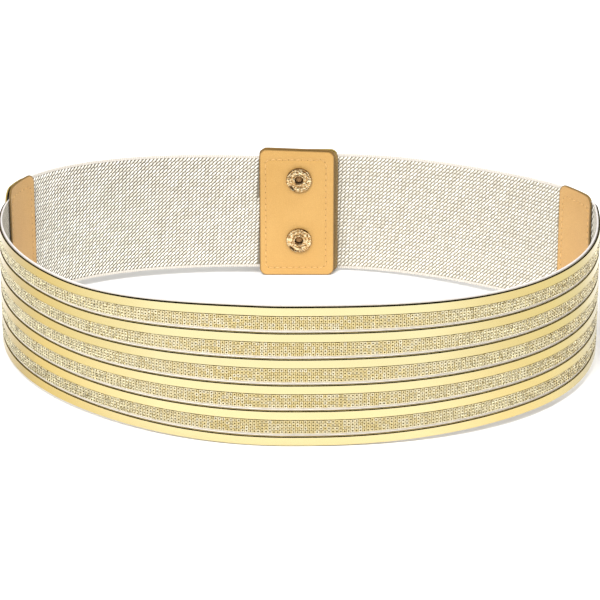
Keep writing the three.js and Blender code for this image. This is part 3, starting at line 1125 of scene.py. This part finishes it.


# A stitch with the needle's hole beside it, painted dark as the hole's shade, repeated along a closed seam
def makeStitchTree():
    tree, graph, given = newTree("stitch_seam", stitch)
    size = given.also
    path = graph.node("GeometryNodeMeshToCurve", None, {"Mesh": given})
    spaced = graph.node("GeometryNodeResampleCurve", {"mode": "LENGTH"},
                        {"Curve": path, "Length": size("Stitch Pitch") * mm})
    bead = graph.node("GeometryNodeMeshUVSphere", None, {"Segments": 6, "Rings": 6, "Radius": 1.0})
    turned = graph.node("GeometryNodeTransform", None, {"Geometry": bead, "Rotation": (0, math.pi / 2, 0)})
    half = graph.vector(*(size(f"Stitch {side}") * (mm / 2) for side in ("Length", "Width", "Height")))
    thread = graph.node("GeometryNodeTransform", None, {"Geometry": turned, "Scale": half})
    dot = graph.node("GeometryNodeMeshUVSphere", None, {
        "Segments": 6, "Rings": 4, "Radius": size("Needle Size") * (mm / 2)})
    beside = graph.vector(size("Stitch Pitch") * (mm / 2), 0.0, -0.1 * mm)
    dot = graph.node("GeometryNodeTransform", None,
                     {"Geometry": dot, "Translation": beside, "Scale": (1, 1, 0.5)})
    dot = store(graph, dot, "POINT", "needle", 1.0)
    shape = graph.node("GeometryNodeJoinGeometry")
    for part in (thread, dot):
        graph.tree.links.new(part.socket, shape.socket.node.inputs["Geometry"])
    seed = size("Seed")
    rotation = turnedBy(graph, facingRotation(graph, graph.node("GeometryNodeInputTangent")),
                        0.0, 0.0, size("Lean") + wobble(graph, stitch["leanSpread"], seed))
    scale = spread(graph, *stitch["sizes"], seed + 1)
    finishTree(graph, spaced, shape, rotation, scale, seed + 2, paints["stitch"])
    return tree


stitchTree = makeStitchTree()


# The stitched rectangle of a plate: its sides, and the radius of its corners
def seamBox(plate):
    left, right, low, high = plate["seam"]
    reach = plate["width"] / 2
    corner = max(plate["corner"] - stitch["corner"], stitch["cornerLeast"])
    return left - reach, reach - right, low, plate["height"] - high, corner


def seamPath(plate):
    left, right, low, high, radius = seamBox(plate)
    points = []
    turns = [(right - radius, low + radius, -90), (right - radius, high - radius, 0),
             (left + radius, high - radius, 90), (left + radius, low + radius, 180)]
    for centreU, centreV, start in turns:
        for step in range(7):
            angle = math.radians(start + 15 * step)
            points.append((centreU + radius * math.cos(angle), centreV + radius * math.sin(angle)))
    points.append(points[0])
    points = np.array(points)
    run = np.concatenate([[0], np.cumsum(np.hypot(*np.diff(points, axis=0).T))])
    even = np.linspace(0, run[-1], int(run[-1] / stitch["pathStep"]))[:-1]
    return np.interp(even, run, points[:, 0]), np.interp(even, run, points[:, 1])


def makeSeam(name, plate, place, slot):
    u, v = seamPath(plate)
    lift = plate["thickness"] / 2 - stitch["sink"]
    points = place(u, v, np.full_like(u, lift))
    facing = place(u, v, np.full_like(u, lift + 1)) - points
    facing /= np.linalg.norm(facing, axis=1, keepdims=True)
    mesh = bpy.data.meshes.new(name)
    count = len(u)
    mesh.from_pydata(points.tolist(), [(i, (i + 1) % count) for i in range(count)], [])
    storeArrow(mesh, "facing", facing)
    finishPiece(growPiece(name, mesh, stitchTree, stitch, smooth=True), slot)


# Face of a sewn plate: a shallow channel under the stitches
def sewnRelief(plate):
    left, right, low, high, radius = seamBox(plate)
    depth, wide = stitch["channel"]

    def relief(u, v):
        overU = np.abs(u - (left + right) / 2) - ((right - left) / 2 - radius)
        overV = np.abs(v - (low + high) / 2) - ((high - low) / 2 - radius)
        away = pastRectangle(overU, overV) - radius
        return -depth * np.exp(-(away / wide) ** 2)

    return relief


def makeCovers():
    layers = ("outer", "goldLeather", "gold_leather"), ("inner", "cover", "leather")
    for side, sign in (("left", -1), ("right", 1)):
        for layer, finish, slot in layers:
            spec = covers[layer]
            start, end = spec[side], covers["ends"][side]
            plate = {**covers, **spec, "width": end - start, "height": spec["top"] - covers["bottom"]}
            middle = (start + end) / 2

            def place(u, v, w):
                depth = spec["middleDepth"] - spec["facing"] * w
                return wallPoint(sign * (middle + u), depth, covers["bottom"] + v)

            mesh = plateMesh(f"{layer}_cover_{side}", plate, place, sewnRelief(plate))
            finishPiece(addObject(mesh, paints[finish]), slot, f"cover_{side}_{layer}")
            makeSeam(f"seam_{layer}_{side}", plate, place, slot)


def makeTabs():
    shiftX, shiftY = plan["shift"]
    for name, centreX, nearY, height, fall, hole, facing, finish, fine in tabs["plates"]:
        plate = {**tabs, "height": height, "cell": tabs["fineCell"] if fine else tabs["plainCell"]}
        middleY = nearY + tabs["thickness"] / 2

        def place(u, v, w):
            share = np.clip(u / tabs["width"] + 0.5, 0, 1)
            slanted = v - fall * share * np.clip((v - height) / tabs["slantFrom"] + 1, 0, 1)
            return np.stack(np.broadcast_arrays(
                centreX + u + shiftX, middleY + facing * w + shiftY, slanted), axis=-1) * mm

        def relief(u, v):
            depth, radius, wide = tabs["dimple"]
            sewn = sewnRelief(plate)(u, v)
            for level in snapsAt["levels"].values():
                away = np.hypot(u + centreX - snapsAt["x"], v - level)
                sewn = sewn - depth * np.exp(-((away - radius) / wide) ** 2)
            return sewn

        mesh = plateMesh(f"tab_{name}_plate", plate, place, relief if fine else None)
        holder = addObject(mesh, paints[finish])
        cutHoles(holder, middleY, hole)
        slot = "gold_leather" if finish == "goldLeather" else "leather"
        finishPiece(holder, slot, f"tab_{name}")
        if fine:
            makeSeam(f"seam_{name}", plate, place, slot)


def cutHoles(holder, middleY, radius):
    shiftX, shiftY = plan["shift"]
    work = bmesh.new()
    for level in snapsAt["levels"].values():
        made = bmesh.ops.create_cone(work, cap_ends=True, segments=tabs["holeSides"],
                                     radius1=radius * mm, radius2=radius * mm, depth=tabs["punch"] * mm)
        for vertex in made["verts"]:
            x, y, z = vertex.co
            vertex.co = (x + (snapsAt["x"] + shiftX) * mm, z + (middleY + shiftY) * mm, y + level * mm)
    bmesh.ops.recalc_face_normals(work, faces=work.faces)
    mesh = bpy.data.meshes.new("punch")
    work.to_mesh(mesh)
    work.free()
    punch = addObject(mesh)
    modifier = holder.modifiers.new("holes", "BOOLEAN")
    modifier.operation = "DIFFERENCE"
    modifier.solver = "EXACT"
    modifier.object = punch
    keepResult(holder, modifier)
    bpy.data.objects.remove(punch)
    bpy.data.meshes.remove(mesh)


makeCovers()
makeTabs()
print("leather made")

# Snaps
snapProfiles = {
    # radius and Y of each turned piece, from the inside of the belt outward
    "eyelet": [[1.9, 73.0], [1.9, 69.1], [1.93, 68.8], [2.02, 68.6], [2.2, 68.46], [2.42, 68.42],
               [2.66, 68.5], [2.84, 68.62], [3.0, 68.72], [3.2, 68.72], [3.45, 68.62],
               [3.8, 68.55], [4.3, 68.55], [4.75, 68.6], [4.95, 68.68], [5.1, 68.7], [5.3, 68.62],
               [5.55, 68.64], [5.78, 68.82], [5.88, 69.1], [5.85, 69.5], [2.6, 69.55], [2.6, 73.0]],
    "stud": [[0, 69.9], [0.7, 69.95], [1.2, 70.1], [1.55, 70.4], [1.7, 70.8], [1.75, 73.2], [2.6, 73.25],
             [4.2, 73.25], [4.2, 73.65], [2.9, 73.65], [2.9, 74.7], [2.7, 75.0], [2.4, 75.1], [0, 75.1]],
    "socket": [[3.2, 73.95], [4.9, 73.95], [4.9, 75.8], [1.7, 75.8], [1.7, 75.35], [3.2, 75.35]],
    "cap": [[0, 75.4], [1.4, 75.4], [1.4, 77.3], [6.1, 77.3], [6.2, 77.5], [6.15, 77.8], [5.9, 78.1],
            [5.4, 78.42], [4.4, 78.68], [3.0, 78.82], [1.5, 78.88], [0, 78.9]],
}
snapFacets = {"count": 30, "height": 0.09, "from": 5.2, "to": 5.8, "sides": 108, "sharp": math.radians(50)}
snapDent = {"angle": math.radians(228), "spread": 0.38, "depth": 0.75, "radius": 4.9, "width": 0.5}
# how fast the arcs of painted reflection change outward and round, and the radii over which the eyelet
# darkens as painted dark reflection
snapMarks = {"outward": 1.5, "round": 1.6, "edge": (5.5, 5.85), "edgeDark": 0.8}


# 1 in the middle of the eyelet's pressed-in stretch, low on its left
def dentShare(radius, angle):
    away = (angle - snapDent["angle"]) / snapDent["spread"]
    aside = (radius - snapDent["radius"]) / snapDent["width"]
    return np.exp(-away ** 2 - aside ** 2)


# That stretch, and small facets round the rim
def eyeletRipple(radius, angle):
    lift = -snapDent["depth"] * dentShare(radius, angle)
    if snapFacets["from"] <= radius <= snapFacets["to"]:
        lift += snapFacets["height"] * math.cos(snapFacets["count"] * angle)
    return lift


# Each point's radius and direction, which the finish draws its arcs of painted reflection from, and the
# eyelet's painted dark edge and pressed stretch
def storeSwirl(mesh, level, piece):
    spots = np.array([vertex.co for vertex in mesh.vertices]) / mm
    across = spots[:, 0] - snapsAt["x"] - plan["shift"][0]
    up = spots[:, 2] - level
    radius = np.hypot(across, up)
    turn = snapMarks["round"] / np.maximum(radius, 0.1)
    swirl = radius * snapMarks["outward"], across * turn, up * turn + level
    storeArrow(mesh, "swirl", np.stack(swirl, axis=-1))
    pressed = dentShare(radius, np.arctan2(up, across) % (2 * math.pi))
    dark = smoothStep(*snapMarks["edge"], radius) * snapMarks["edgeDark"] + pressed
    storeNumber(mesh, "outline", np.minimum(dark, 1) * (piece == "eyelet"))


def makeSnaps():
    for level, height in snapsAt["levels"].items():
        for piece, profile in snapProfiles.items():
            ripple = eyeletRipple if piece == "eyelet" else None
            mesh = latheMesh(f"{level}_{piece}", profile, snapsAt["x"], height, snapFacets["sides"], ripple)
            storeSwirl(mesh, height, piece)
            holder = addObject(mesh, paints["pin" if piece == "stud" else "snap"])
            mesh.set_sharp_from_angle(angle=snapFacets["sharp"])
            finishPiece(holder, "snap", f"snap_{level}_{piece}")


makeSnaps()
print("snaps made")
